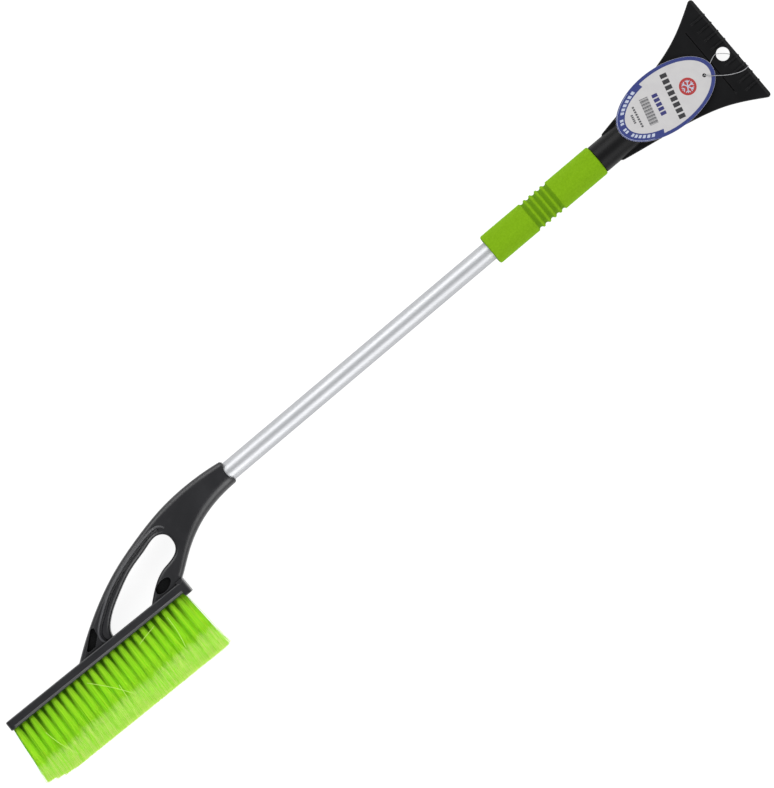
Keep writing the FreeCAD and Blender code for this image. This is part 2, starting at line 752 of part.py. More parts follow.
def main():
    os.makedirs("parts", exist_ok=True)
    save("brush_head", brush_head())
    for row, z in enumerate(ROW_HEIGHTS):
        places = tuft_places(row)
        save(f"bristle_row_{row + 1}", *[tuft(u, z) for u in places])
        save(f"tuft_anchors_{row + 1}", *[tuft_anchor(u, z) for u in places])
    save("handle_tube", handle_tube())
    save("foam_grip", foam_grip())
    save("scraper_head", scraper_head())
    save(
        "retaining_screws",
        retaining_screw(NECK_SCREW_X, ARCH_HALF_DEPTH, NECK_SCREW_SINK),
        retaining_screw(SOCKET_SCREW_X, SOCKET_RADIUS, SOCKET_SCREW_SINK),
    )
    save("tag_card", tag_card())
    save("tag_thread", tag_thread())


main()
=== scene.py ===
import json
import math

import bmesh
import bpy
import numpy as np
from mathutils import Matrix, Vector


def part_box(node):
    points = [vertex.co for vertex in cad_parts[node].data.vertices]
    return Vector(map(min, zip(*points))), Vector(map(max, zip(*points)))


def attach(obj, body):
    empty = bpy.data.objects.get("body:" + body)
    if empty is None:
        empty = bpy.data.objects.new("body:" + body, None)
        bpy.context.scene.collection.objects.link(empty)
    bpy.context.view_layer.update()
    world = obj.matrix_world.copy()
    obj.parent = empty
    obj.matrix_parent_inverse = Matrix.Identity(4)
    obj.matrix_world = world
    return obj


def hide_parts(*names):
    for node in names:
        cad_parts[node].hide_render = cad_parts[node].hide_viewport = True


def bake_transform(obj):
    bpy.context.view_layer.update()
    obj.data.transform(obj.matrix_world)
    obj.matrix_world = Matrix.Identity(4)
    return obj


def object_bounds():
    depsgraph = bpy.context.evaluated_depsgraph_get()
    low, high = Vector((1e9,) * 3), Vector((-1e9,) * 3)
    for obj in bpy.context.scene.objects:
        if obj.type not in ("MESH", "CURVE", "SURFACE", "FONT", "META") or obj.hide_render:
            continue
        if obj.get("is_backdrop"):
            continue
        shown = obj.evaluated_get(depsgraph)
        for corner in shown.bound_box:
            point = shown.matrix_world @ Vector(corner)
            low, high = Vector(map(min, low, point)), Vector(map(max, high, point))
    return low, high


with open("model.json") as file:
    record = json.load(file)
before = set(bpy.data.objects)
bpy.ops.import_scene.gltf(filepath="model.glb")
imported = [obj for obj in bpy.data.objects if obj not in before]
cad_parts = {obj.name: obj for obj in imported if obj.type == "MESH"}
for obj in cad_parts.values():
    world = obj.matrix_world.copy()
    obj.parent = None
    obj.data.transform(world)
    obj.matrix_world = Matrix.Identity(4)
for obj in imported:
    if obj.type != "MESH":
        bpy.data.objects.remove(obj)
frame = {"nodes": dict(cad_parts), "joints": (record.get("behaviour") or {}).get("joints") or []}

# Snow brush with an ice scraper, lying flat. Lengths are in metres, and MM turns millimetres into metres.
# The origin is the hang hole, +X runs from the brush to the scraper, and the bristles point to -Y.

CAD_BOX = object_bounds()
MM = 0.001
RANDOM = np.random.default_rng(7)
ROWS = (1, 2, 3, 4)


def mm(*values):
    """Millimetres as metres."""
    return tuple(value * MM for value in values)


# Node helpers


def add_node(tree, kind, inputs=None, **settings):
    """A shader node. An input given as a socket is linked, and any other input is set."""
    made = tree.nodes.new(kind)
    for name, value in settings.items():
        setattr(made, name, value)
    for name, value in (inputs or {}).items():
        if isinstance(value, bpy.types.NodeSocket):
            tree.links.new(value, made.inputs[name])
        else:
            made.inputs[name].default_value = value
    return made


def object_place(tree, stretch=(1.0, 1.0, 1.0)):
    """The point being shaded, in the row frame, with each axis scaled."""
    place = add_node(tree, "ShaderNodeTexCoord").outputs["Object"]
    return add_node(tree, "ShaderNodeMapping", {"Vector": place, "Scale": stretch}).outputs["Vector"]


def noise(tree, size, detail=3.0, stretch=(1.0, 1.0, 1.0), roughness=0.55):
    """Noise whose grains are about size metres across, as a value from 0 to 1."""
    inputs = {
        "Vector": object_place(tree, stretch),
        "Scale": 1 / size,
        "Detail": detail,
        "Roughness": roughness,
    }
    return add_node(tree, "ShaderNodeTexNoise", inputs).outputs["Fac"]


def cells(tree, size, stretch=(1.0, 1.0, 1.0)):
    """The distance to the nearest cell centre, for cells about size metres across."""
    inputs = {"Vector": object_place(tree, stretch), "Scale": 1 / size}
    return add_node(tree, "ShaderNodeTexVoronoi", inputs).outputs["Distance"]


def math_node(tree, operation, first, second=0.0):
    made = add_node(tree, "ShaderNodeMath", operation=operation)
    for index, value in enumerate((first, second)):
        if isinstance(value, bpy.types.NodeSocket):
            tree.links.new(value, made.inputs[index])
        else:
            made.inputs[index].default_value = value
    return made.outputs[0]


def spread(tree, value, low, high, out_low, out_high):
    """Value from low to high, turned into out_low to out_high, and held at those ends."""
    inputs = {
        "Value": value,
        "From Min": low,
        "From Max": high,
        "To Min": out_low,
        "To Max": out_high,
    }
    return add_node(tree, "ShaderNodeMapRange", inputs).outputs["Result"]


def mix_colour(tree, factor, first, second):
    made = add_node(tree, "ShaderNodeMix", data_type="RGBA")
    for index, value in ((0, factor), (6, first), (7, second)):
        if isinstance(value, bpy.types.NodeSocket):
            tree.links.new(value, made.inputs[index])
        elif index == 0:
            made.inputs[index].default_value = value
        else:
            made.inputs[index].default_value = (*value, 1.0)
    return made.outputs[2]


def bump(tree, height, distance, normal=None, strength=1.0):
    inputs = {"Height": height, "Distance": distance, "Strength": strength}
    if normal is not None:
        inputs["Normal"] = normal
    return add_node(tree, "ShaderNodeBump", inputs).outputs["Normal"]


def soft_edges(tree, radius):
    """The surface normal with every sharp edge rounded off by radius."""
    return add_node(tree, "ShaderNodeBevel", {"Radius": radius}, samples=4).outputs["Normal"]


def corner_painted_shade(tree, distance, closed, clear, darkest):
    """Painted shade for corners and recesses: 1 where a face sees more than the clear share of the sky,
    falling to darkest at the closed share.
    """
    reached = add_node(tree, "ShaderNodeAmbientOcclusion", {"Distance": distance}, samples=6).outputs["AO"]
    return spread(tree, reached, closed, clear, darkest, 1.0)


def edge_mask(tree, radius):
    """1 along sharp edges and 0 on open faces."""
    true_normal = add_node(tree, "ShaderNodeNewGeometry").outputs["Normal"]
    rounded = soft_edges(tree, radius)
    dot = add_node(tree, "ShaderNodeVectorMath", operation="DOT_PRODUCT")
    tree.links.new(true_normal, dot.inputs[0])
    tree.links.new(rounded, dot.inputs[1])
    return spread(tree, dot.outputs["Value"], 0.995, 0.9, 0.0, 1.0)


def new_material(name):
    material = bpy.data.materials.new(name)
    material.use_nodes = True
    tree = material.node_tree
    tree.nodes.clear()
    output = tree.nodes.new("ShaderNodeOutputMaterial")
    surface = tree.nodes.new("ShaderNodeBsdfPrincipled")
    tree.links.new(surface.outputs["BSDF"], output.inputs["Surface"])
    return material, tree, surface


def set_input(tree, surface, name, value):
    if isinstance(value, bpy.types.NodeSocket):
        tree.links.new(value, surface.inputs[name])
    elif isinstance(value, tuple):
        surface.inputs[name].default_value = (*value, 1.0)
    else:
        surface.inputs[name].default_value = value


# Materials


EDGE_ROUND = 0.35 * MM
WEAR_AND_HIGHLIGHT_WIDTH = 0.6 * MM
# Near-black painted shade for pockets and the sides of ribs
PAINTED_SHADE_BLACK = (0.0008, 0.0008, 0.0008)
# Painted highlight colour for the crest of the bead on the arch
BEAD_HIGHLIGHT_COLOUR = (0.06, 0.06, 0.064)
CROWN_REACH = 5 * MM
CROWN_SHARE = 0.5


def crowned_normal(tree, start_x):
    """The surface normal with small soft edges, and a gentle crown on flat faces past start_x."""
    x = add_node(tree, "ShaderNodeSeparateXYZ", {0: object_place(tree)}).outputs["X"]
    share = spread(tree, x, start_x - 10 * MM, start_x + 15 * MM, 0.0, CROWN_SHARE)
    crowned = add_node(tree, "ShaderNodeMix", data_type="VECTOR")
    for index, value in ((0, share), (4, soft_edges(tree, EDGE_ROUND)), (5, soft_edges(tree, CROWN_REACH))):
        tree.links.new(value, crowned.inputs[index])
    unit = add_node(tree, "ShaderNodeVectorMath", {0: crowned.outputs[1]}, operation="NORMALIZE")
    return unit.outputs["Vector"]


def bead_highlight_mask(tree, face_height):
    """1 on the bead that stands proud of the face, on either side of the tool, and 0 elsewhere: where the
    painted highlight goes.
    """
    z = add_node(tree, "ShaderNodeSeparateXYZ", {0: object_place(tree)}).outputs["Z"]
    height = math_node(tree, "ABSOLUTE", z)
    above = spread(tree, height, face_height + 0.3 * MM, face_height + 0.8 * MM, 0.0, 1.0)
    below = spread(tree, height, face_height + 1.2 * MM, face_height + 1.4 * MM, 1.0, 0.0)
    return math_node(tree, "MULTIPLY", above, below)


def moulded_plastic(name, colour, roughness, shine_level, painted_rib_darkest, crown_from=None, bead_face=None):
    """Black moulded plastic: a fine spark-eroded grain, faint cloudiness, scuffs, and paler edges that are
    partly wear and partly painted highlight.

    The rib shade argument sets how dark the painted shade gets beside ribs, and pockets get painted shade
    too. Past crown_from on X the flat faces are crowned, and a bead on the faces at height bead_face gets a
    painted highlight.
    """
    material, tree, surface = new_material(name)
    clouds = noise(tree, 30 * MM, detail=4.0)
    scuffs = spread(tree, noise(tree, 2.5 * MM, detail=6.0, stretch=(0.25, 1.0, 1.0)), 0.6, 0.75, 0.0, 1.0)
    uneven = spread(tree, noise(tree, 1.5 * MM, detail=5.0), 0.3, 0.7, 0.75, 1.0)
    # Paler sharp edges: partly edge wear, partly painted highlight along the edges
    wear_and_highlight = math_node(tree, "MULTIPLY", edge_mask(tree, WEAR_AND_HIGHLIGHT_WIDTH), uneven)
    lighter = tuple(1.8 * c + 0.003 for c in colour)
    wear_and_highlight_colour = tuple(3.0 * c + 0.025 for c in colour)
    base = mix_colour(tree, spread(tree, clouds, 0.35, 0.65, 0.0, 0.35), colour, lighter)
    base = mix_colour(tree, wear_and_highlight, base, wear_and_highlight_colour)
    # The bead gets a painted highlight: a paler colour along its crest
    if bead_face is not None:
        base = mix_colour(tree, bead_highlight_mask(tree, bead_face), base, BEAD_HIGHLIGHT_COLOUR)
    # Painted shade: base colour and reflection darken in pockets and beside ribs, by ambient occlusion
    pocket_painted_shade = corner_painted_shade(tree, distance=14 * MM, closed=0.15, clear=0.5, darkest=0.04)
    rib_painted_shade = corner_painted_shade(tree, distance=2 * MM, closed=0.45, clear=0.85, darkest=painted_rib_darkest)
    unshaded_share = math_node(tree, "MULTIPLY", pocket_painted_shade, rib_painted_shade)
    base = mix_colour(tree, unshaded_share, PAINTED_SHADE_BLACK, base)
    shine = spread(tree, clouds, 0.3, 0.7, roughness - 0.05, roughness + 0.06)
    shine = math_node(tree, "ADD", shine, math_node(tree, "MULTIPLY", scuffs, 0.08))
    rounded = soft_edges(tree, EDGE_ROUND) if crown_from is None else crowned_normal(tree, crown_from)
    grain = bump(tree, noise(tree, 0.35 * MM, detail=2.0), 0.012 * MM, rounded)
    waves = bump(tree, noise(tree, 20 * MM, detail=1.0), 0.04 * MM, grain)
    set_input(tree, surface, "Base Color", base)
    set_input(tree, surface, "Roughness", shine)
    set_input(tree, surface, "Normal", waves)
    set_input(tree, surface, "Specular IOR Level", math_node(tree, "MULTIPLY", unshaded_share, shine_level))
    return material


def anodised_aluminium():
    """Drawn tube, satin anodised: lines along X, and a few fine handling scratches."""
    material, tree, surface = new_material("anodised_aluminium")
    draw_lines = noise(tree, 0.35 * MM, detail=4.0, stretch=(0.01, 1.0, 1.0))
    clouds = noise(tree, 25 * MM, detail=3.0, stretch=(0.4, 1.0, 1.0))
    scratches = noise(tree, 0.5 * MM, detail=2.0, stretch=(0.06, 1.0, 1.0))
    scratches = spread(tree, scratches, 0.72, 0.78, 0.0, 1.0)
    colour = mix_colour(tree, clouds, (0.51, 0.52, 0.535), (0.57, 0.575, 0.585))
    colour = mix_colour(tree, math_node(tree, "MULTIPLY", scratches, 0.12), colour, (0.5, 0.5, 0.52))
    shine = spread(tree, draw_lines, 0.3, 0.7, 0.46, 0.54)
    set_input(tree, surface, "Base Color", colour)
    set_input(tree, surface, "Metallic", 1.0)
    set_input(tree, surface, "Specular Tint", (0.6, 0.6, 0.62))
    set_input(tree, surface, "Roughness", shine)
    set_input(tree, surface, "Normal", bump(tree, draw_lines, 0.0015 * MM))
    return material


def brushed_steel(name, colour, roughness):
    """Plated or drawn steel, with fine specks and small darker stains."""
    material, tree, surface = new_material(name)
    specks = noise(tree, 0.4 * MM, detail=5.0)
    stains = noise(tree, 2.0 * MM, detail=3.0)
    darker = tuple(0.6 * c for c in colour)
    stained = mix_colour(tree, spread(tree, stains, 0.4, 0.7, 0.0, 0.5), colour, darker)
    set_input(tree, surface, "Base Color", stained)
    set_input(tree, surface, "Metallic", 1.0)
    set_input(tree, surface, "Roughness", spread(tree, specks, 0.3, 0.7, roughness - 0.08, roughness + 0.1))
    set_input(tree, surface, "Normal", bump(tree, specks, 0.01 * MM))
    return material


FOAM_GREENS = ((0.199, 0.402, 0.006), (0.223, 0.436, 0.009))
PORE_GREEN = (0.15, 0.33, 0.002)
GROOVE_SHADE_GREEN = (0.09, 0.21, 0.004)


def green_foam():
    """Closed-cell foam with a ground surface: tiny open cells, mottled colour, painted shade in the finger
    grooves, no shine.
    """
    material, tree, surface = new_material("green_foam")
    pores = cells(tree, 0.75 * MM)
    fine = noise(tree, 0.45 * MM, detail=4.0)
    mottle = noise(tree, 2.5 * MM, detail=5.0)
    dark = spread(tree, pores, 0.1, 0.45, 0.4, 0.0)
    colour = mix_colour(tree, spread(tree, mottle, 0.35, 0.65, 0.0, 1.0), *FOAM_GREENS)
    colour = mix_colour(tree, dark, colour, PORE_GREEN)
    off_axis = object_place(tree, (0.0, 1.0, 1.0))
    away = add_node(tree, "ShaderNodeVectorMath", {0: off_axis}, operation="LENGTH").outputs["Value"]
    # Painted shade: the finger grooves darken towards their floors
    groove_painted_shade = spread(tree, away, GRIP_RADIUS - GROOVE_DEPTH, GRIP_RADIUS - 0.4 * MM, 0.75, 0.0)
    colour = mix_colour(tree, groove_painted_shade, colour, GROOVE_SHADE_GREEN)
    pitted = bump(tree, pores, 0.12 * MM)
    set_input(tree, surface, "Base Color", colour)
    set_input(tree, surface, "Roughness", spread(tree, fine, 0.3, 0.7, 0.82, 0.95))
    set_input(tree, surface, "Specular IOR Level", 0.1)
    set_input(tree, surface, "Normal", bump(tree, fine, 0.06 * MM, pitted))
    return material


LIMES = ((0.44, 0.91, 0.012), (0.70, 1.0, 0.05))
TIP_GREENS = ((0.52, 0.95, 0.055), (0.90, 1.0, 0.34))
# Painted shade colours: inside the rows, on the flanks of the tufts and at the roots
INNER_SHADE_GREEN = (0.02, 0.17, 0.002)
FLANK_SHADE_GREEN = (0.16, 0.56, 0.006)
ROOT_SHADE_GREEN = (0.08, 0.34, 0.006)
TRANSLUCENT_SHARE = 0.35


def inner_strand_shade(tree, place, reach):
    """How deep a strand lies between the outer rows, near its root, which sets its painted shade. The last
    tuft has nothing beside it.
    """
    split_place = add_node(tree, "ShaderNodeSeparateXYZ", {0: place})
    height = math_node(tree, "ABSOLUTE", split_place.outputs["Z"])
    between_rows = spread(tree, height, 6.5 * MM, 10 * MM, 0.75, 0.0)
    near_root = spread(tree, reach, 4 * MM, 26 * MM, 1.0, 0.0)
    end_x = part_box("bristle_row_1")[1].x
    before_end = spread(tree, split_place.outputs["X"], end_x - 12 * MM, end_x - 6 * MM, 1.0, 0.0)
    return math_node(tree, "MULTIPLY", math_node(tree, "MULTIPLY", between_rows, near_root), before_end)


def tuft_flank_shade(tree, reach):
    """How far a strand lies on one flank of its tuft, which sets the painted shade that keeps the tufts
    apart until they merge.
    """
    side = add_node(tree, "ShaderNodeAttribute", attribute_name=TUFT_SIDE).outputs["Fac"]
    right = spread(tree, side, 0.45, 1.0, 0.0, 0.4)
    left = spread(tree, side, -0.3, -1.0, 0.0, 0.75)
    apart = spread(tree, reach, 30 * MM, 52 * MM, 1.0, 0.1)
    return math_node(tree, "MULTIPLY", math_node(tree, "MAXIMUM", right, left), apart)


def green_filament(name, down, start, pale_from):
    """Translucent lime filament, paler over the split ends, with a painted glow and painted shade. Down is
    the way the bristles point.
    """
    material, tree, surface = new_material(name)
    place = object_place(tree)
    along = add_node(tree, "ShaderNodeVectorMath", operation="DOT_PRODUCT")
    tree.links.new(place, along.inputs[0])
    along.inputs[1].default_value = down
    reach = math_node(tree, "SUBTRACT", along.outputs["Value"], start.dot(down))
    strand = add_node(tree, "ShaderNodeNewGeometry").outputs["Random Per Island"]
    reach = math_node(tree, "ADD", reach, math_node(tree, "MULTIPLY", strand, 2.5 * MM))
    uneven = math_node(tree, "MULTIPLY", noise(tree, 9 * MM, detail=2.0, stretch=(1.0, 0.2, 0.3)), 10 * MM)
    pale = spread(tree, math_node(tree, "ADD", reach, uneven), pale_from, pale_from + 5 * MM, 0.0, 1.0)
    # Painted shade at the roots, next to the block
    root = spread(tree, reach, 0.0, 14 * MM, 0.2, 0.0)
    lime = mix_colour(tree, strand, *LIMES)
    tips = mix_colour(tree, spread(tree, strand, 0.2, 0.8, 0.0, 1.0), *TIP_GREENS)
    colour = mix_colour(tree, pale, lime, tips)
    # Painted shade on strands between the outer rows, near their roots
    colour = mix_colour(tree, inner_strand_shade(tree, place, reach), colour, INNER_SHADE_GREEN)
    # Painted shade on the flanks of each tuft
    colour = mix_colour(tree, tuft_flank_shade(tree, reach), colour, FLANK_SHADE_GREEN)
    colour = mix_colour(tree, root, colour, ROOT_SHADE_GREEN)
    streaks = noise(tree, 0.6 * MM, detail=3.0, stretch=(1.0, 0.05, 1.0))
    set_input(tree, surface, "Base Color", colour)
    set_input(tree, surface, "Roughness", spread(tree, streaks, 0.3, 0.7, 0.38, 0.55))
    # Painted glow: the filament emits light in its own colour, stronger away from the root
    set_input(tree, surface, "Emission Color", colour)
    set_input(tree, surface, "Emission Strength", spread(tree, reach, 4 * MM, 30 * MM, 0.08, 0.17))
    set_input(tree, surface, "Normal", bump(tree, streaks, 0.02 * MM))
    glow = add_node(tree, "ShaderNodeBsdfTranslucent", {"Color": colour})
    both = add_node(tree, "ShaderNodeMixShader", {0: TRANSLUCENT_SHARE})
    tree.links.new(surface.outputs["BSDF"], both.inputs[1])
    tree.links.new(glow.outputs["BSDF"], both.inputs[2])
    output = next(n for n in tree.nodes if n.type == "OUTPUT_MATERIAL")
    tree.links.new(both.outputs["Shader"], output.inputs["Surface"])
    return material


PAPER_WHITES = ((0.584, 0.570, 0.570), (0.612, 0.60, 0.596))


def coated_card():
    """Coated paper board: soft clouds in its white, and fine fibres under the coat."""
    material, tree, surface = new_material("coated_card")
    fibres = noise(tree, 0.5 * MM, detail=5.0)
    clouds = noise(tree, 9 * MM, detail=3.0)
    colour = mix_colour(tree, spread(tree, clouds, 0.35, 0.65, 0.0, 1.0), *PAPER_WHITES)
    set_input(tree, surface, "Base Color", colour)
    set_input(tree, surface, "Roughness", spread(tree, fibres, 0.3, 0.7, 0.4, 0.52))
    set_input(tree, surface, "Normal", bump(tree, fibres, 0.01 * MM))
    return material


def printing_ink(name, colour):
    """Ink on coated card, with a faint screen and a slightly uneven lay-down."""
    material, tree, surface = new_material(name)
    screen = cells(tree, 0.3 * MM)
    uneven = noise(tree, 3 * MM, detail=4.0)
    faded = tuple(0.85 * c + 0.01 for c in colour)
    mixed = mix_colour(tree, spread(tree, uneven, 0.35, 0.7, 0.0, 0.8), colour, faded)
    mixed = mix_colour(tree, spread(tree, screen, 0.3, 0.6, 0.0, 0.05), mixed, (0.6, 0.6, 0.63))
    set_input(tree, surface, "Base Color", mixed)
    set_input(tree, surface, "Roughness", spread(tree, uneven, 0.3, 0.7, 0.35, 0.46))
    set_input(tree, surface, "Normal", bump(tree, screen, 0.004 * MM))
    return material


def clear_nylon():
    """Greyish clear thread with a faint twist."""
    material, tree, surface = new_material("clear_nylon")
    twist = noise(tree, 0.5 * MM, detail=3.0)
    set_input(tree, surface, "Base Color", mix_colour(tree, twist, (0.36, 0.36, 0.37), (0.5, 0.5, 0.51)))
    set_input(tree, surface, "Roughness", spread(tree, twist, 0.3, 0.7, 0.2, 0.35))
    set_input(tree, surface, "Transmission Weight", 0.1)
    set_input(tree, surface, "Normal", bump(tree, twist, 0.02 * MM))
    return material


FLOOR_GLOW = 0.9


def studio_floor():
    """Matte white with a glow of its own, like a light table, so that shadows stay faint."""
    material, tree, surface = new_material("studio_floor")
    clouds = noise(tree, 0.4, detail=2.0)
    set_input(tree, surface, "Base Color", mix_colour(tree, clouds, (0.24, 0.24, 0.24), (0.26, 0.26, 0.26)))
    set_input(tree, surface, "Roughness", spread(tree, noise(tree, 3 * MM), 0.3, 0.7, 0.75, 0.85))
    set_input(tree, surface, "Specular IOR Level", 0.1)
    set_input(tree, surface, "Emission Color", (1.0, 1.0, 1.0))
    set_input(tree, surface, "Emission Strength", FLOOR_GLOW)
    return material


# Mesh helpers


def new_piece(name, vertices, faces, material, smooth=True):
    mesh = bpy.data.meshes.new(name)
    mesh.from_pydata([tuple(v) for v in vertices], [], [tuple(f) for f in faces])
    mesh.polygons.foreach_set("use_smooth", [smooth] * len(mesh.polygons))
    mesh.materials.append(material)
    mesh.update()
    piece = bpy.data.objects.new(name, mesh)
    bpy.context.scene.collection.objects.link(piece)
    return piece


def outward(piece):
    """Turns every face of a closed mesh to point outwards."""
    work = bmesh.new()
    work.from_mesh(piece.data)
    bmesh.ops.recalc_face_normals(work, faces=work.faces)
    work.to_mesh(piece.data)
    work.free()
    return piece


def strand_mesh(paths, radii, side_axis, up_axis, sides=3):
    """Closed thin rods. Paths is (rods, points, 3) and radii is (rods, points)."""
    rods, points, _ = paths.shape
    turns = np.arange(sides) * 2 * math.pi / sides
    rim = np.cos(turns)[:, None] * side_axis + np.sin(turns)[:, None] * up_axis
    vertices = paths[:, :, None, :] + radii[:, :, None, None] * rim
    index = np.arange(rods * points * sides).reshape(rods, points, sides)
    after = np.roll(index, -1, axis=2)
    quads = np.stack([index[:, :-1], after[:, :-1], after[:, 1:], index[:, 1:]], axis=-1).reshape(-1, 4)
    first_caps = index[:, 0, ::-1]
    last_caps = index[:, -1, :]
    return vertices.reshape(-1, 3), quads.tolist() + first_caps.tolist() + last_caps.tolist()


def smooth_path(corners, steps):
    """A smooth curve through all the corners, with several points to each stretch (Catmull-Rom)."""
    ends = [2 * corners[0] - corners[1]] + list(corners) + [2 * corners[-1] - corners[-2]]
    points = []
    for a, b, c, d in zip(ends, ends[1:], ends[2:], ends[3:]):
        for i in range(steps):
            t = i / steps
            square = (2 * a - 5 * b + 4 * c - d) * t**2
            cube = (3 * b - a - 3 * c + d) * t**3
            points.append(0.5 * (2 * b + (c - a) * t + square + cube))
    points.append(corners[-1])
    return points


def round_cord(name, points, radius, material, sides=8):
    """A round cord along the points, closed at both ends."""
    rings = []
    side = Vector((0, 0, 1))
    for i, point in enumerate(points):
        ahead = points[min(i + 1, len(points) - 1)] - points[max(i - 1, 0)]
        ahead.normalize()
        side = (side - ahead * side.dot(ahead)).normalized()
        other = ahead.cross(side)
        for k in range(sides):
            turn = 2 * math.pi * k / sides
            rings.append(point + radius * (math.cos(turn) * side + math.sin(turn) * other))
    faces = []
    for i in range(len(points) - 1):
        for k in range(sides):
            n = (k + 1) % sides
            faces.append((i * sides + k, i * sides + n, (i + 1) * sides + n, (i + 1) * sides + k))
    faces.append(tuple(range(sides))[::-1])
    faces.append(tuple((len(points) - 1) * sides + k for k in range(sides)))
    return new_piece(name, rings, faces, material)


# Foam grip

GRIP_LOW, GRIP_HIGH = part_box("foam_grip")
GRIP_HIGH.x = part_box("scraper_head")[0].x - 0.1 * MM
GRIP_RADIUS = (GRIP_HIGH.y - GRIP_LOW.y) / 2
GRIP_BORE = (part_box("handle_tube")[1].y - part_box("handle_tube")[0].y) / 2
GRIP_CLEAR = 0.1 * MM
GRIP_END_ROUND = 2.0 * MM
GROOVES = 5
GROOVE_PITCH = 6.45 * MM
GROOVE_MIDDLE = GRIP_LOW.x + 61.3 * MM
GROOVE_DEPTH = 1.8 * MM
GROOVE_ROUND = 2.4 * MM
FOAM_STEPS = 330
FOAM_SIDES = 216
FOAM_ROUGH = 0.05 * MM


def grip_radius(x):
    """The outside radius at x, with its finger grooves and rounded ends."""
    radius = GRIP_RADIUS
    to_end = min(x - GRIP_LOW.x, GRIP_HIGH.x - x)
    if to_end < GRIP_END_ROUND:
        radius -= GRIP_END_ROUND - math.sqrt(max(0.0, GRIP_END_ROUND**2 - (GRIP_END_ROUND - to_end) ** 2))
    for i in range(GROOVES):
        away = abs(x - (GROOVE_MIDDLE + (i - (GROOVES - 1) / 2) * GROOVE_PITCH))
        if away < GROOVE_ROUND:
            floor = GRIP_RADIUS - GROOVE_DEPTH + GROOVE_ROUND
            radius = min(radius, floor - math.sqrt(GROOVE_ROUND**2 - away**2))
    return radius


def foam_sleeve(material):
    """The grip as one closed ring of foam with a finely uneven skin."""
    share = np.linspace(0.0, 1.0, FOAM_STEPS)
    xs = GRIP_LOW.x + (GRIP_HIGH.x - GRIP_LOW.x) * share
    profile = [(GRIP_LOW.x, GRIP_BORE + GRIP_CLEAR)]
    profile += [(x, grip_radius(x)) for x in xs]
    profile += [(GRIP_HIGH.x, GRIP_BORE + GRIP_CLEAR)]
    around = np.arange(FOAM_SIDES) * 2 * math.pi / FOAM_SIDES
    unevenness = RANDOM.normal(0.0, FOAM_ROUGH, (len(profile), FOAM_SIDES))
    unevenness = (unevenness + np.roll(unevenness, 1, axis=1) + np.roll(unevenness, 1, axis=0)) / 2
    unevenness[[0, -1]] = 0.0
    radii = np.array([r for x, r in profile])[:, None] + unevenness
    places = np.array([x for x, r in profile])[:, None] + 0 * unevenness
    vertices = np.stack([places, radii * np.cos(around), radii * np.sin(around)], axis=-1).reshape(-1, 3)
    index = np.arange(len(profile) * FOAM_SIDES).reshape(len(profile), FOAM_SIDES)
    rings = np.vstack([index, index[:1]])
    after = np.roll(rings, -1, axis=1)
    faces = np.stack([rings[:-1], after[:-1], after[1:], rings[1:]], axis=-1).reshape(-1, 4)
    piece = outward(new_piece("foam_sleeve", vertices, faces.tolist(), material))
    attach(piece, "tool")
    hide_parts("foam_grip")


# Bristles

# How far from its root a strand turns pale: at its split tips, or all along
TIPS_START = 44 * MM
PALE_FROM_ROOT = -10 * MM
TUFT_SIDE = "tuft_side"
TUFTS_PER_ROW = 23
ANCHOR_THICKNESS = 0.4 * MM
ANCHOR_HEIGHT = 1.8 * MM
UNDERSIDE_BELOW_ANCHOR = 4.7 * MM
HOLE_RADIUS = 2.3 * MM
TIP_SPREAD = np.array([4.9 * MM, 4.5 * MM])
TIP_JITTER = 0.7 * MM
TIP_REACH = 5.8 * MM
SPREAD_POWER = 0.72
STRANDS_PER_TUFT = 86
STRAND_RADIUS = 0.22 * MM
SPLITS = 4
SPLIT_RADIUS = 0.105 * MM
SPLIT_SHARE = (0.5, 0.68)
SPLIT_SPREAD = 1.1 * MM
SPLIT_SHORTEST = 1.2 * MM
LENGTH_SPREAD = (-1.3 * MM, 0.5 * MM)
SWAY = 0.35 * MM
LEAN_JITTER = 0.5 * MM
INSIDE_HOLE = -0.03
MAIN_POINTS = 6
SHORT_END_SHARE = 0.15
SHORT_END_DROP = 5.0 * MM


def row_frame(row):
    """The first tuft's place on the underside, the step to the next tuft and the way the bristles point."""
    low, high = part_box(f"tuft_anchors_{row}")
    middle_z = (low.z + high.z) / 2
    first = Vector((low.x + ANCHOR_THICKNESS / 2, high.y - ANCHOR_HEIGHT / 2, middle_z))
    last = Vector((high.x - ANCHOR_THICKNESS / 2, low.y + ANCHOR_HEIGHT / 2, middle_z))
    step = (last - first) / (TUFTS_PER_ROW - 1)
    down = Vector((step.y, -step.x, 0)).normalized()
    return first + down * UNDERSIDE_BELOW_ANCHOR, step, down


def disc_points(count, radius):
    """Points spread evenly over a disc, each one moved a little."""
    turn = math.pi * (3 - math.sqrt(5))
    order = np.arange(count) + 0.5
    away = radius * np.sqrt(order / count)
    angle = order * turn + RANDOM.uniform(0, 2 * math.pi)
    points = np.stack([away * np.cos(angle), away * np.sin(angle)], axis=1)
    return points + RANDOM.normal(0.0, 0.06 * radius, (count, 2))


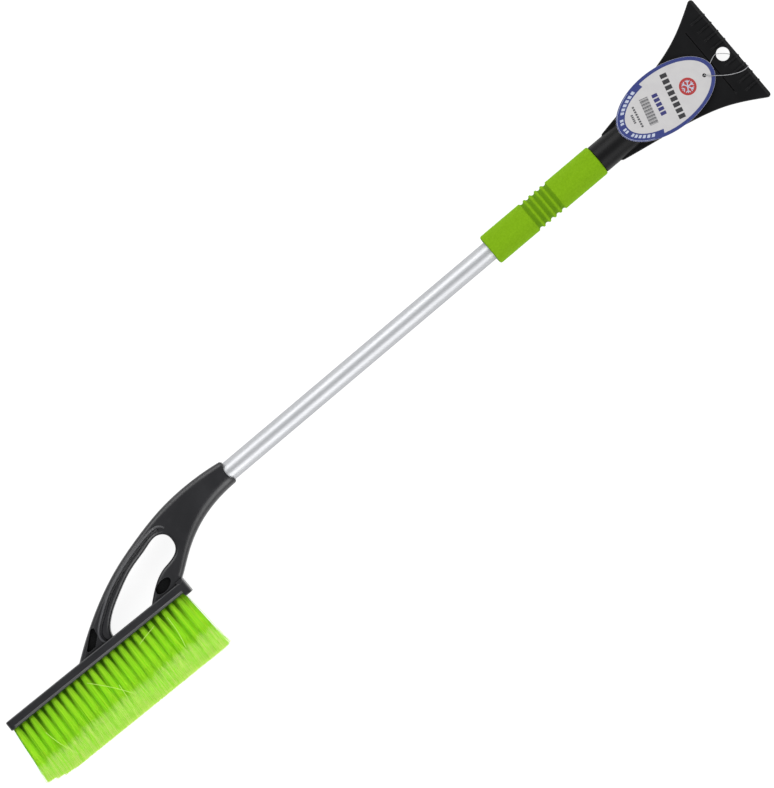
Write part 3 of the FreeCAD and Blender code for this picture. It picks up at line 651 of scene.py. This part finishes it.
def tuft(root, lean, length, along, up, down):
    """One tuft, as a function that places a point on a strand, and how far each root lies to one side."""
    roots = disc_points(STRANDS_PER_TUFT, HOLE_RADIUS)
    tips = roots * TIP_SPREAD / HOLE_RADIUS + RANDOM.normal(0.0, TIP_JITTER, roots.shape)
    lengths = length + RANDOM.uniform(*LENGTH_SPREAD, STRANDS_PER_TUFT)
    sway = RANDOM.normal(0.0, SWAY, (STRANDS_PER_TUFT, 2))
    phase = RANDOM.uniform(0, math.pi, STRANDS_PER_TUFT)
    tuft_lean = lean + RANDOM.normal(0.0, LEAN_JITTER)

    def place(strand, t):
        """The place of one strand at share t of its length, from just inside its hole to its tip."""
        flat = roots[strand] + (tips[strand] - roots[strand]) * max(t, 0.0) ** SPREAD_POWER
        flat = flat + sway[strand] * math.sin(phase[strand] + 3.2 * t) * t
        return root + along * (flat[0] + tuft_lean * t) + up * flat[1] + down * (lengths[strand] * t)

    return place, roots[:, 0] / HOLE_RADIUS


def split_ends(base, tip, along, up, down):
    """The fine ends that one strand splits into, each as three points."""
    ends = []
    for _ in range(SPLITS):
        side = RANDOM.normal(0.0, SPLIT_SPREAD, 2)
        shorter = RANDOM.uniform(0.0, SPLIT_SHORTEST)
        end = tip + along * side[0] + up * side[1] - down * shorter
        middle = (base + end) / 2 + 0.2 * (along * side[1] - up * side[0])
        ends.append([base, middle, end])
    return ends


def bristle_paths(row):
    """A row's strands, their split ends, and how far each strand's root lies to one side of its tuft."""
    first, step, down = row_frame(row)
    low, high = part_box(f"bristle_row_{row}")
    last = first + step * (TUFTS_PER_ROW - 1)
    lean_first = low.x + TIP_REACH - first.x
    lean_last = high.x - TIP_REACH - last.x
    axes = [np.array(axis) for axis in (step.normalized(), Vector((0, 0, 1)), down)]
    main_paths, split_paths, sides_of_tuft = [], [], []
    for i in range(TUFTS_PER_ROW):
        root = np.array(first + step * i)
        share = i / (TUFTS_PER_ROW - 1)
        lean = lean_first + (lean_last - lean_first) * share
        short = SHORT_END_DROP * max(0.0, 1 - share / SHORT_END_SHARE) ** 2
        place, sides = tuft(root, lean, last.y - low.y - short, *axes)
        sides_of_tuft.append(sides)
        for strand in range(STRANDS_PER_TUFT):
            split_share = RANDOM.uniform(*SPLIT_SHARE)
            shares = np.linspace(INSIDE_HOLE, split_share, MAIN_POINTS)
            main_paths.append([place(strand, t) for t in shares])
            split_paths += split_ends(place(strand, split_share - 0.02), place(strand, 1.0), *axes)
    return np.array(main_paths), np.array(split_paths), np.concatenate(sides_of_tuft)


def bristle_row(row, material):
    """One row of tufts, as separate filaments that spread from their holes and split at the tips."""
    main_paths, split_paths, side = bristle_paths(row)
    along, up = np.array(row_frame(row)[1].normalized()), np.array((0.0, 0.0, 1.0))
    main_radii = np.full(main_paths.shape[:2], STRAND_RADIUS)
    split_radii = np.tile([SPLIT_RADIUS * 1.15, SPLIT_RADIUS, SPLIT_RADIUS * 0.8], (len(split_paths), 1))
    main = strand_mesh(main_paths, main_radii, along, up)
    split = strand_mesh(split_paths, split_radii, along, up)
    vertices = np.vstack([main[0], split[0]])
    faces = main[1] + [[v + len(main[0]) for v in face] for face in split[1]]
    piece = new_piece(f"bristles_{row}", vertices, faces, material)
    of_vertices = np.concatenate([np.repeat(side, len(part[0]) // len(side)) for part in (main, split)])
    piece.data.attributes.new(TUFT_SIDE, "FLOAT", "POINT").data.foreach_set("value", of_vertices)
    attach(piece, "tool")
    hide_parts(f"bristle_row_{row}")


STRAY_RADIUS = 0.28 * MM
STRAY_OVER_ROOTS = 3.1 * MM
STRAY_CLIMB = 1.6 * MM
STRAY_ARCH = 0.8 * MM

# Filaments that have sprung out of line across the front of the brush: start and end as (share of the row,
# share of the length) and the bow of each one sideways
STRAYS = (
    ((0.405, 0.13), (0.555, 0.66), 1.5 * MM),
    ((0.72, 0.17), (0.83, 0.10), -1.0 * MM),
    ((0.905, 0.12), (0.885, 0.60), 1.2 * MM),
    ((0.10, 0.30), (0.16, 0.80), -1.4 * MM),
    ((0.52, 0.42), (0.49, 0.93), 1.1 * MM),
)


def stray_filaments(material):
    """Each stray as a bowed cord that lies on the front of the top row."""
    first, step, down = row_frame(1)
    span = step * (TUFTS_PER_ROW - 1)
    length = first.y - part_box("bristle_row_1")[0].y
    along, up = step.normalized(), Vector((0, 0, 1))
    for number, (start, end, bow) in enumerate(STRAYS):
        points = []
        for t in np.linspace(0.0, 1.0, 12):
            share = start[0] + (end[0] - start[0]) * t
            reach = start[1] + (end[1] - start[1]) * t
            arch = math.sin(math.pi * t)
            lift = STRAY_OVER_ROOTS + STRAY_CLIMB * reach + STRAY_ARCH * arch
            points.append(first + span * share + down * (length * reach) + along * bow * arch + up * lift)
        piece = round_cord(f"stray_filament_{number + 1}", points, STRAY_RADIUS, material, sides=6)
        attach(piece, "tool")


# Hang tag

CARD_LOW, CARD_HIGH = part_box("tag_card")
CARD_THICKNESS = 0.4 * MM
CARD_SEMI_AXES = (51.8 * MM, 28.9 * MM)
CARD_HOLE = (41.0 * MM, -3.4 * MM)
CARD_HOLE_RADIUS = 1.8 * MM
CARD_BOW = 0.7 * MM
CARD_AROUND = 144
CARD_RINGS = 20
INK_LIFT = 0.03 * MM
LIFT_AXIS = next(j for j in frame["joints"] if j["name"] == "tag_lift")["axis"]
CARD_SLOPE = math.atan2(CARD_HIGH.z - CARD_LOW.z - CARD_THICKNESS, CARD_HIGH.x - CARD_LOW.x)
CARD_TURN = -math.atan2(LIFT_AXIS[0], LIFT_AXIS[1])
CARD_PLACE = (
    Matrix.Translation((CARD_LOW + CARD_HIGH) / 2)
    @ Matrix.Rotation(CARD_SLOPE, 4, "Y")
    @ Matrix.Rotation(CARD_TURN, 4, "Z")
)


def card_point(a, b, height=0.0):
    """The place at a along the card, b across it and a height over its middle. Its long sides bow up."""
    bow = CARD_BOW * (b / CARD_SEMI_AXES[1]) ** 2
    return CARD_PLACE @ Vector((a, b, height + bow))


def reach_to_rim(angle):
    """How far the card's edge is from the middle of its punched hole, in that direction."""
    (a, b), (cx, cy) = CARD_SEMI_AXES, CARD_HOLE
    dx, dy = math.cos(angle), math.sin(angle)
    square = (dx / a) ** 2 + (dy / b) ** 2
    linear = cx * dx / a**2 + cy * dy / b**2
    constant = (cx / a) ** 2 + (cy / b) ** 2 - 1
    return (math.sqrt(linear**2 - square * constant) - linear) / square


def tag_sheet(material):
    """The card as one closed sheet, made of rings round its punched hole."""
    vertices = []
    for height in (CARD_THICKNESS / 2, -CARD_THICKNESS / 2):
        for ring in range(CARD_RINGS + 1):
            for k in range(CARD_AROUND):
                angle = 2 * math.pi * k / CARD_AROUND
                out = (ring / CARD_RINGS) ** 0.8
                away = CARD_HOLE_RADIUS + (reach_to_rim(angle) - CARD_HOLE_RADIUS) * out
                place = (CARD_HOLE[0] + away * math.cos(angle), CARD_HOLE[1] + away * math.sin(angle))
                vertices.append(card_point(*place, height))
    index = np.arange(2 * (CARD_RINGS + 1) * CARD_AROUND).reshape(2, CARD_RINGS + 1, CARD_AROUND)
    loop = np.vstack([index[0], index[1][::-1], index[0][:1]])
    after = np.roll(loop, -1, axis=1)
    faces = np.stack([loop[:-1], after[:-1], after[1:], loop[1:]], axis=-1).reshape(-1, 4)
    piece = outward(new_piece("tag_sheet", vertices, faces.tolist(), material, smooth=False))
    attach(piece, "tag")
    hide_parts("tag_card")


class Print:
    """Flat printed shapes, gathered into one piece with one material for each ink."""

    def __init__(self, inks):
        self.inks = list(inks)
        self.vertices, self.faces, self.face_inks = [], [], []

    def polygon(self, outline, ink, layer=1):
        """A flat shape inside the outline, with its printed edge closed down to the card."""
        start, count = len(self.vertices), len(outline)
        for lift in (layer * INK_LIFT, 0.0):
            self.vertices += [card_point(a, b, CARD_THICKNESS / 2 + lift) for a, b in outline]
        self.faces.append([start + k for k in range(count)])
        for k in range(count):
            n = (k + 1) % count
            self.faces.append([start + k, start + count + k, start + count + n, start + n])
        self.face_inks += [self.inks.index(ink)] * (count + 1)

    def block(self, centre, size, turn, ink, layer=1):
        """A rectangle, turned about its centre."""
        c, s = math.cos(turn), math.sin(turn)
        corners = [(-1, -1), (1, -1), (1, 1), (-1, 1)]
        outline = []
        for u, v in corners:
            x, y = u * size[0] / 2, v * size[1] / 2
            outline.append((centre[0] + c * x - s * y, centre[1] + s * x + c * y))
        self.polygon(outline, ink, layer)

    def ring(self, outer, inner, ink, start=0.0, end=2 * math.pi, layer=1, steps=96):
        """The band between two ellipses, from one angle to another."""
        for k in range(steps):
            angles = [start + (end - start) * (k + d) / steps for d in (0, 1)]
            outline = [(outer[0] * math.cos(t), outer[1] * math.sin(t)) for t in angles]
            outline += [(inner[0] * math.cos(t), inner[1] * math.sin(t)) for t in angles[::-1]]
            self.polygon(outline, ink, layer)

    def piece(self, name):
        made = new_piece(name, self.vertices, self.faces, self.inks[0], smooth=False)
        for ink in self.inks[1:]:
            made.data.materials.append(ink)
        made.data.polygons.foreach_set("material_index", self.face_inks)
        return made


RIM_INNER = (47.9 * MM, 25.7 * MM)
BAND_INNER = (43.2 * MM, 22.0 * MM)
BAND_START = math.radians(104)
BAND_END = math.radians(246)


def line_of_blocks(sheet, start, end, size, gap_share, ink, layer=1):
    """A greeked line of print: equal blocks with gaps, from start to end."""
    length = math.dist(start, end)
    turn = math.atan2(end[1] - start[1], end[0] - start[0])
    count = max(1, round(length / size[0]))
    for k in range(count):
        t = (k + 0.5) / count
        centre = (start[0] + (end[0] - start[0]) * t, start[1] + (end[1] - start[1]) * t)
        sheet.block(centre, (length / count * (1 - gap_share), size[1]), turn, ink, layer)


DISC_SIDES = 48


def snow_mark(sheet, centre, radius, ground, ink):
    """A disc with a plain six-armed flake."""
    turns = [2 * math.pi * k / DISC_SIDES for k in range(DISC_SIDES)]
    outline = [(centre[0] + radius * math.cos(t), centre[1] + radius * math.sin(t)) for t in turns]
    sheet.polygon(outline, ground)
    arm = 0.72 * radius
    for k in range(3):
        sheet.block(centre, (2 * arm, 0.12 * radius), math.pi * k / 3, ink, layer=2 + k)
    for k in range(6):
        turn = math.pi * k / 3
        for side in (-1, 1):
            twig = turn + side * math.radians(50)
            base = 0.62 * arm
            middle = (
                centre[0] + base * math.cos(turn) + 0.16 * radius * math.cos(twig),
                centre[1] + base * math.sin(turn) + 0.16 * radius * math.sin(twig),
            )
            sheet.block(middle, (0.36 * radius, 0.1 * radius), twig, ink, layer=5)


# Two ellipses each, outer and inner: the pale line in the rim and the height of the letters in the band
RIM_LINE = (mm(50.9, 28.0), mm(50.6, 27.7))
RIM_LINE_START = math.radians(120)
RIM_LINE_END = math.radians(235)
BAND_LETTERS = (mm(47.9, 26.0), mm(44.6, 23.2))
BAND_LETTER_COUNT = 19
BAND_SPACES = (6, 9, 12)
LETTER_HALF_WIDTH = 0.33
# Greeked lines: start, end, size of a block and the share of it that is gap
LARGE_LINE = (mm(11.4, 20.8), mm(2.1, -23.4), mm(5.6, 6.4), 0.3)
MIDDLE_LINE = (mm(-5.9, 10.6), mm(-9.6, -10.9), mm(4.3, 5.4), 0.28)
SMALL_LINES = (
    (mm(-28.4, 12.4), mm(-31.8, -8.2), mm(2.2, 2.0), 0.3),
    (mm(-33.6, 7.0), mm(-35.2, -1.6), mm(1.6, 2.2), 0.3),
)
STRIPES = 26
STRIPES_MIDDLE = mm(-18.9, 0.3)
STRIPES_LENGTH = 24 * MM
STRIPE_LENGTH = 8.2 * MM
STRIPES_SLANT = math.radians(13)
STRIPE_TURN = math.radians(-12)
MARK_MIDDLE = mm(22.9, -2.6)
MARK_RADIUS = 8.0 * MM


def band_letters(sheet, ink):
    """Blocks in the place of letters, bent round the band, with gaps between the words."""
    first = BAND_START + math.radians(10)
    last = BAND_END - math.radians(11)
    each = (last - first) / BAND_LETTER_COUNT
    for k in range(BAND_LETTER_COUNT):
        if k not in BAND_SPACES:
            t = first + each * (k + 0.5)
            half = LETTER_HALF_WIDTH * each
            sheet.ring(*BAND_LETTERS, ink, t - half, t + half, layer=2, steps=2)


def bar_stripes(sheet, ink):
    """A bar code that says nothing: stripes of three widths in turn."""
    for k in range(STRIPES):
        away = STRIPES_LENGTH * (k / (STRIPES - 1) - 0.5)
        centre = (STRIPES_MIDDLE[0] + away * math.sin(STRIPES_SLANT), STRIPES_MIDDLE[1] + away)
        width = (0.3 + 0.28 * ((k * 7) % 3)) * MM
        sheet.block(centre, (STRIPE_LENGTH, width), STRIPE_TURN, ink)


def tag_print():
    """Rim, band, mark, bar code and greeked lines. Nothing on it can be read."""
    blue = printing_ink("ink_blue", (0.014, 0.030, 0.20))
    deep_blue = printing_ink("ink_deep_blue", (0.02, 0.022, 0.16))
    dark = printing_ink("ink_dark", (0.018, 0.018, 0.02))
    grey = printing_ink("ink_grey", (0.07, 0.07, 0.075))
    red = printing_ink("ink_red", (0.45, 0.025, 0.022))
    pale = printing_ink("ink_pale", (0.55, 0.60, 0.72))
    sheet = Print((blue, deep_blue, dark, grey, red, pale))
    edge = tuple(s - 0.15 * MM for s in CARD_SEMI_AXES)
    sheet.ring(edge, RIM_INNER, blue, start=BAND_END - 2 * math.pi, end=BAND_START)
    sheet.ring(edge, BAND_INNER, blue, start=BAND_START, end=BAND_END)
    sheet.ring(*RIM_LINE, pale, start=RIM_LINE_START, end=RIM_LINE_END, layer=2)
    band_letters(sheet, pale)
    line_of_blocks(sheet, *LARGE_LINE, dark)
    line_of_blocks(sheet, *MIDDLE_LINE, deep_blue)
    for line in SMALL_LINES:
        line_of_blocks(sheet, *line, grey)
    bar_stripes(sheet, grey)
    snow_mark(sheet, MARK_MIDDLE, MARK_RADIUS, red, pale)
    made = sheet.piece("tag_print")
    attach(made, "tag")


# Thread

THREAD_RADIUS = 0.32 * MM
THREAD_CLEAR = 0.36 * MM
RIB_HEIGHT = 1.2 * MM
BLADE_TOP = 2.0 * MM
EDGE_TOP = -0.9 * MM
SWING_X = next(j for j in frame["joints"] if j["name"] == "tag_lift")["pos_m"][0]


def tag_thread(material):
    """The loop in two pieces, which meet where the thread leaves the blade for the card."""
    hole = card_point(*CARD_HOLE)
    over_card = card_point(*CARD_HOLE, CARD_THICKNESS / 2 + THREAD_CLEAR)
    under_card = card_point(*CARD_HOLE, -CARD_THICKNESS / 2 - THREAD_CLEAR)
    top = BLADE_TOP + THREAD_CLEAR
    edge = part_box("scraper_head")[1].x + THREAD_CLEAR - 0.5 * MM
    over_rib = top + RIB_HEIGHT
    meet_front = Vector((SWING_X, -14.6 * MM, top + 0.3 * MM))
    meet_back = Vector((SWING_X, 1.9 * MM, top))
    card_side = [
        meet_front,
        Vector((-17.2 * MM, -10.9 * MM, top + 1.0 * MM)),
        Vector((-21.0 * MM, -8.2 * MM, over_card.z - 0.1 * MM)),
        over_card,
        hole,
        under_card,
        Vector((-16.0 * MM, 0.4 * MM, top + 0.2 * MM)),
        meet_back,
    ]
    blade_side = [
        meet_back,
        Vector((-8.5 * MM, 3.6 * MM, top)),
        Vector((-5.2 * MM, 4.0 * MM, top)),
        Vector((0.0, 0.6 * MM, 0.0)),
        Vector((4.8 * MM, -4.2 * MM, -top)),
        Vector((8.0 * MM, -11.0 * MM, -top)),
        Vector((edge, -22.0 * MM, -BLADE_TOP)),
        Vector((edge, -22.8 * MM, EDGE_TOP)),
        Vector((7.0 * MM, -23.4 * MM, top + 0.1 * MM)),
        Vector((2.0 * MM, -22.5 * MM, top + 0.4 * MM)),
        Vector((-3.0 * MM, -20.4 * MM, over_rib)),
        Vector((-8.0 * MM, -17.7 * MM, over_rib - 0.3 * MM)),
        meet_front,
    ]
    at_card = round_cord("thread_at_card", smooth_path(card_side, 8), THREAD_RADIUS, material)
    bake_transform(at_card)
    at_blade = round_cord("thread_at_blade", smooth_path(blade_side, 8), THREAD_RADIUS, material)
    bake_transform(at_blade)
    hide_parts("tag_thread")


# Finishes of the pieces that keep their CAD shape

NECK_START_X = -0.655
ARCH_HALF_DEPTH = 11.5 * MM


def finish_node(name, material):
    mesh = frame["nodes"][name].data
    mesh.materials.clear()
    mesh.materials.append(material)


def finish_nodes():
    steel = brushed_steel("zinc_plated_steel", (0.6, 0.6, 0.62), 0.32)
    wire = brushed_steel("anchor_wire", (0.62, 0.6, 0.56), 0.4)
    brush_plastic = moulded_plastic(
        "brush_head_plastic",
        colour=(0.0052, 0.005, 0.0066),
        roughness=0.34,
        shine_level=0.66,
        painted_rib_darkest=0.3,
        crown_from=NECK_START_X,
        bead_face=ARCH_HALF_DEPTH,
    )
    scraper_plastic = moulded_plastic(
        "scraper_plastic",
        colour=(0.0036, 0.0036, 0.004),
        roughness=0.42,
        shine_level=0.18,
        painted_rib_darkest=0.2,
    )
    finish_node("brush_head", brush_plastic)
    finish_node("scraper_head", scraper_plastic)
    finish_node("handle_tube", anodised_aluminium())
    finish_node("retaining_screws", steel)
    for row in ROWS:
        finish_node(f"tuft_anchors_{row}", wire)


# Studio

# Centre, size and face brightness of each softbox
SOFTBOXES = {
    "upper_softbox": ((-0.30, 1.25, 1.15), (2.1, 1.1), 3.0),
    "lower_softbox": ((-0.78, -1.35, 1.15), (0.75, 1.45), 3.75),
    "lower_softbox_right": ((0.15, -1.35, 1.15), (1.1, 1.3), 1.65),
}
AIM_Y = -0.03
ROOM_STRENGTH = 0.36
ROOM_COLOUR = (0.95, 0.97, 1.0, 1.0)
BACKDROP_COLOUR = (0.96, 0.96, 0.96, 1.0)
FLOOR_HALF_SIZE = 60.0
FLOOR_GAP = 0.2 * MM
TUBE_ANGLE = math.radians(40.19)
PICTURE_HEIGHT = 0.705
PICTURE_CENTRE = (-0.4258, -0.0385)
CAMERA_DISTANCE = 6.0
SENSOR = 36.0


def softbox(name, centre, size, radiance):
    """A rectangular light that faces the middle of the tool, given by how bright its face is."""
    light = bpy.data.lights.new(name, "AREA")
    light.shape = "RECTANGLE"
    light.size, light.size_y = size
    light.energy = radiance * math.pi * size[0] * size[1]
    lamp = bpy.data.objects.new(name, light)
    lamp.location = centre
    aim = Vector((centre[0], AIM_Y, 0.0)) - Vector(centre)
    lamp.rotation_euler = aim.to_track_quat("-Z", "Y").to_euler()
    lamp.visible_camera = False
    bpy.context.scene.collection.objects.link(lamp)


def studio():
    """The glowing floor under the tool, three softboxes, and a dim room that the camera sees as white."""
    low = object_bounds()[0]
    work = bmesh.new()
    bmesh.ops.create_grid(work, x_segments=8, y_segments=8, size=FLOOR_HALF_SIZE)
    mesh = bpy.data.meshes.new("floor")
    work.to_mesh(mesh)
    work.free()
    mesh.materials.append(studio_floor())
    floor = bpy.data.objects.new("floor", mesh)
    floor.location = (0, 0, min(low.z, CAD_BOX[0].z) - FLOOR_GAP)
    bpy.context.scene.collection.objects.link(floor)
    floor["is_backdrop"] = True

    for name, (centre, size, radiance) in SOFTBOXES.items():
        softbox(name, centre, size, radiance)

    world = bpy.data.worlds.new("studio")
    world.use_nodes = True
    tree = world.node_tree
    tree.nodes.clear()
    path = add_node(tree, "ShaderNodeLightPath").outputs["Is Camera Ray"]
    room = add_node(tree, "ShaderNodeBackground", {"Color": ROOM_COLOUR, "Strength": ROOM_STRENGTH})
    seen = add_node(tree, "ShaderNodeBackground", {"Color": BACKDROP_COLOUR, "Strength": 1.0})
    both = add_node(tree, "ShaderNodeMixShader", {0: path})
    tree.links.new(room.outputs[0], both.inputs[1])
    tree.links.new(seen.outputs[0], both.inputs[2])
    output = tree.nodes.new("ShaderNodeOutputWorld")
    tree.links.new(both.outputs[0], output.inputs["Surface"])
    bpy.context.scene.world = world


def camera():
    """Straight above the tool, turned so that the tube climbs to the right."""
    data = bpy.data.cameras.new("camera")
    data.sensor_width = SENSOR
    data.lens = SENSOR * CAMERA_DISTANCE / PICTURE_HEIGHT
    data.clip_end = 100.0
    made = bpy.data.objects.new("camera", data)
    made.location = (*PICTURE_CENTRE, CAMERA_DISTANCE)
    made.rotation_euler = (0, 0, -TUBE_ANGLE)
    bpy.context.scene.collection.objects.link(made)
    bpy.context.scene.camera = made


def main():
    finish_nodes()
    foam_sleeve(green_foam())
    first, _, down = row_frame(1)
    filament = green_filament("green_filament", down, first, TIPS_START)
    for row in ROWS:
        bristle_row(row, filament)
    stray_filaments(green_filament("pale_filament", down, first, PALE_FROM_ROOT))
    tag_sheet(coated_card())
    tag_print()
    tag_thread(clear_nylon())
    studio()
    camera()
    scene = bpy.context.scene
    scene.view_settings.view_transform = "Standard"
    scene.view_settings.exposure = 0.0


main()
